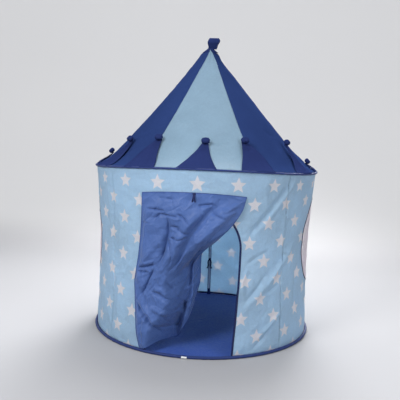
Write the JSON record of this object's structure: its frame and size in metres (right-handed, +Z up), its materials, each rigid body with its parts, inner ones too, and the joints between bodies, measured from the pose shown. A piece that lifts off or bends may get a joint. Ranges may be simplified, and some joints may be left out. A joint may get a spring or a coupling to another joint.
{
  "type": "play tent",
  "caption": "Round pop-up play tent with a pointed two-tone roof, a ring of crown flaps, an arched doorway with a hanging curtain, net windows and a hanging loop.",
  "frame": {"origin": "middle of the floor sheet's underside, on the ground; the apex stands straight above it", "axes": "+Z up, the doorway faces -Y, +X to the right of someone who looks in from the front"},
  "size_m": [1.0648, 1.0648, 1.4007],
  "materials": {
    "star_cloth": "thin woven polyester with a printed star pattern, slight sheen",
    "light_cloth": "thin woven polyester, slight sheen",
    "dark_cloth": "thin woven polyester, slight sheen",
    "navy_cloth": "woven polyester",
    "navy_binding": "folded woven tape",
    "navy_floor": "coated woven polyester",
    "curtain_cloth": "thin woven polyester, silky",
    "net": "open net",
    "spring_steel": "oiled spring wire",
    "zinc": "crimped tube, zinc plated",
    "pole": "glass-fibre rod",
    "connector": "moulded plastic",
    "white_tape": "blank satin tape"
  },
  "bodies": {
    "tent": {"apex_hub": "connector", "apex_patch": "navy_cloth", "base_hoop_ferrule": "zinc", "base_hoop_sleeve": "navy_binding", "base_hoop_wire": "spring_steel", "crown_flap_01": "navy_cloth", "crown_flap_02": "navy_cloth", "crown_flap_03": "navy_cloth", "crown_flap_04": "navy_cloth", "crown_flap_05": "navy_cloth", "crown_flap_06": "navy_cloth", "crown_flap_07": "navy_cloth", "crown_flap_08": "navy_cloth", "crown_flap_09": "navy_cloth", "crown_flap_10": "navy_cloth", "crown_flap_11": "navy_cloth", "crown_flap_12": "navy_cloth", "door_binding": "navy_binding", "eave_hoop_ferrule": "zinc", "eave_hoop_sleeve": "navy_binding", "eave_hoop_wire": "spring_steel", "floor_sheet": "navy_floor", "pole_elbow_back": "connector", "pole_elbow_left": "connector", "pole_elbow_right": "connector", "pole_lower_back": "pole", "pole_lower_left": "pole", "pole_lower_right": "pole", "pole_pocket_back": "navy_cloth", "pole_pocket_left": "navy_cloth", "pole_pocket_right": "navy_cloth", "pole_tie_high_back": "navy_binding", "pole_tie_high_left": "navy_binding", "pole_tie_high_right": "navy_binding", "pole_tie_low_back": "navy_binding", "pole_tie_low_left": "navy_binding", "pole_tie_low_right": "navy_binding", "pole_upper_back": "pole", "pole_upper_left": "pole", "pole_upper_right": "pole", "roof_panel_1": "light_cloth", "roof_panel_2": "dark_cloth", "roof_panel_3": "light_cloth", "roof_panel_4": "dark_cloth", "roof_panel_5": "light_cloth", "roof_panel_6": "dark_cloth", "seam_tape_back": "navy_binding", "seam_tape_left": "navy_binding", "seam_tape_right": "navy_binding", "sewn_tag": "white_tape", "wall_front": "star_cloth", "wall_left": "star_cloth", "wall_right": "star_cloth", "window_binding_left": "navy_binding", "window_binding_right": "navy_binding", "window_net_left": "net", "window_net_right": "net"},
    "curtain": {"door_curtain": "curtain_cloth", "curtain_tie": "navy_binding"},
    "loop": {"hanging_loop": "navy_cloth"}
  },
  "joints": [
    {"name": "curtain_lift", "type": "hinge", "parent": "tent", "child": "curtain", "pos_m": [0, -0.5255, 0.7165], "axis": [-1, 0, 0], "range_deg": [0, 165]},
    {"name": "loop_tilt", "type": "hinge", "parent": "tent", "child": "loop", "pos_m": [0, 0, 1.3443], "axis": [1, 0, 0], "range_deg": [-60, 60]}
  ]
}
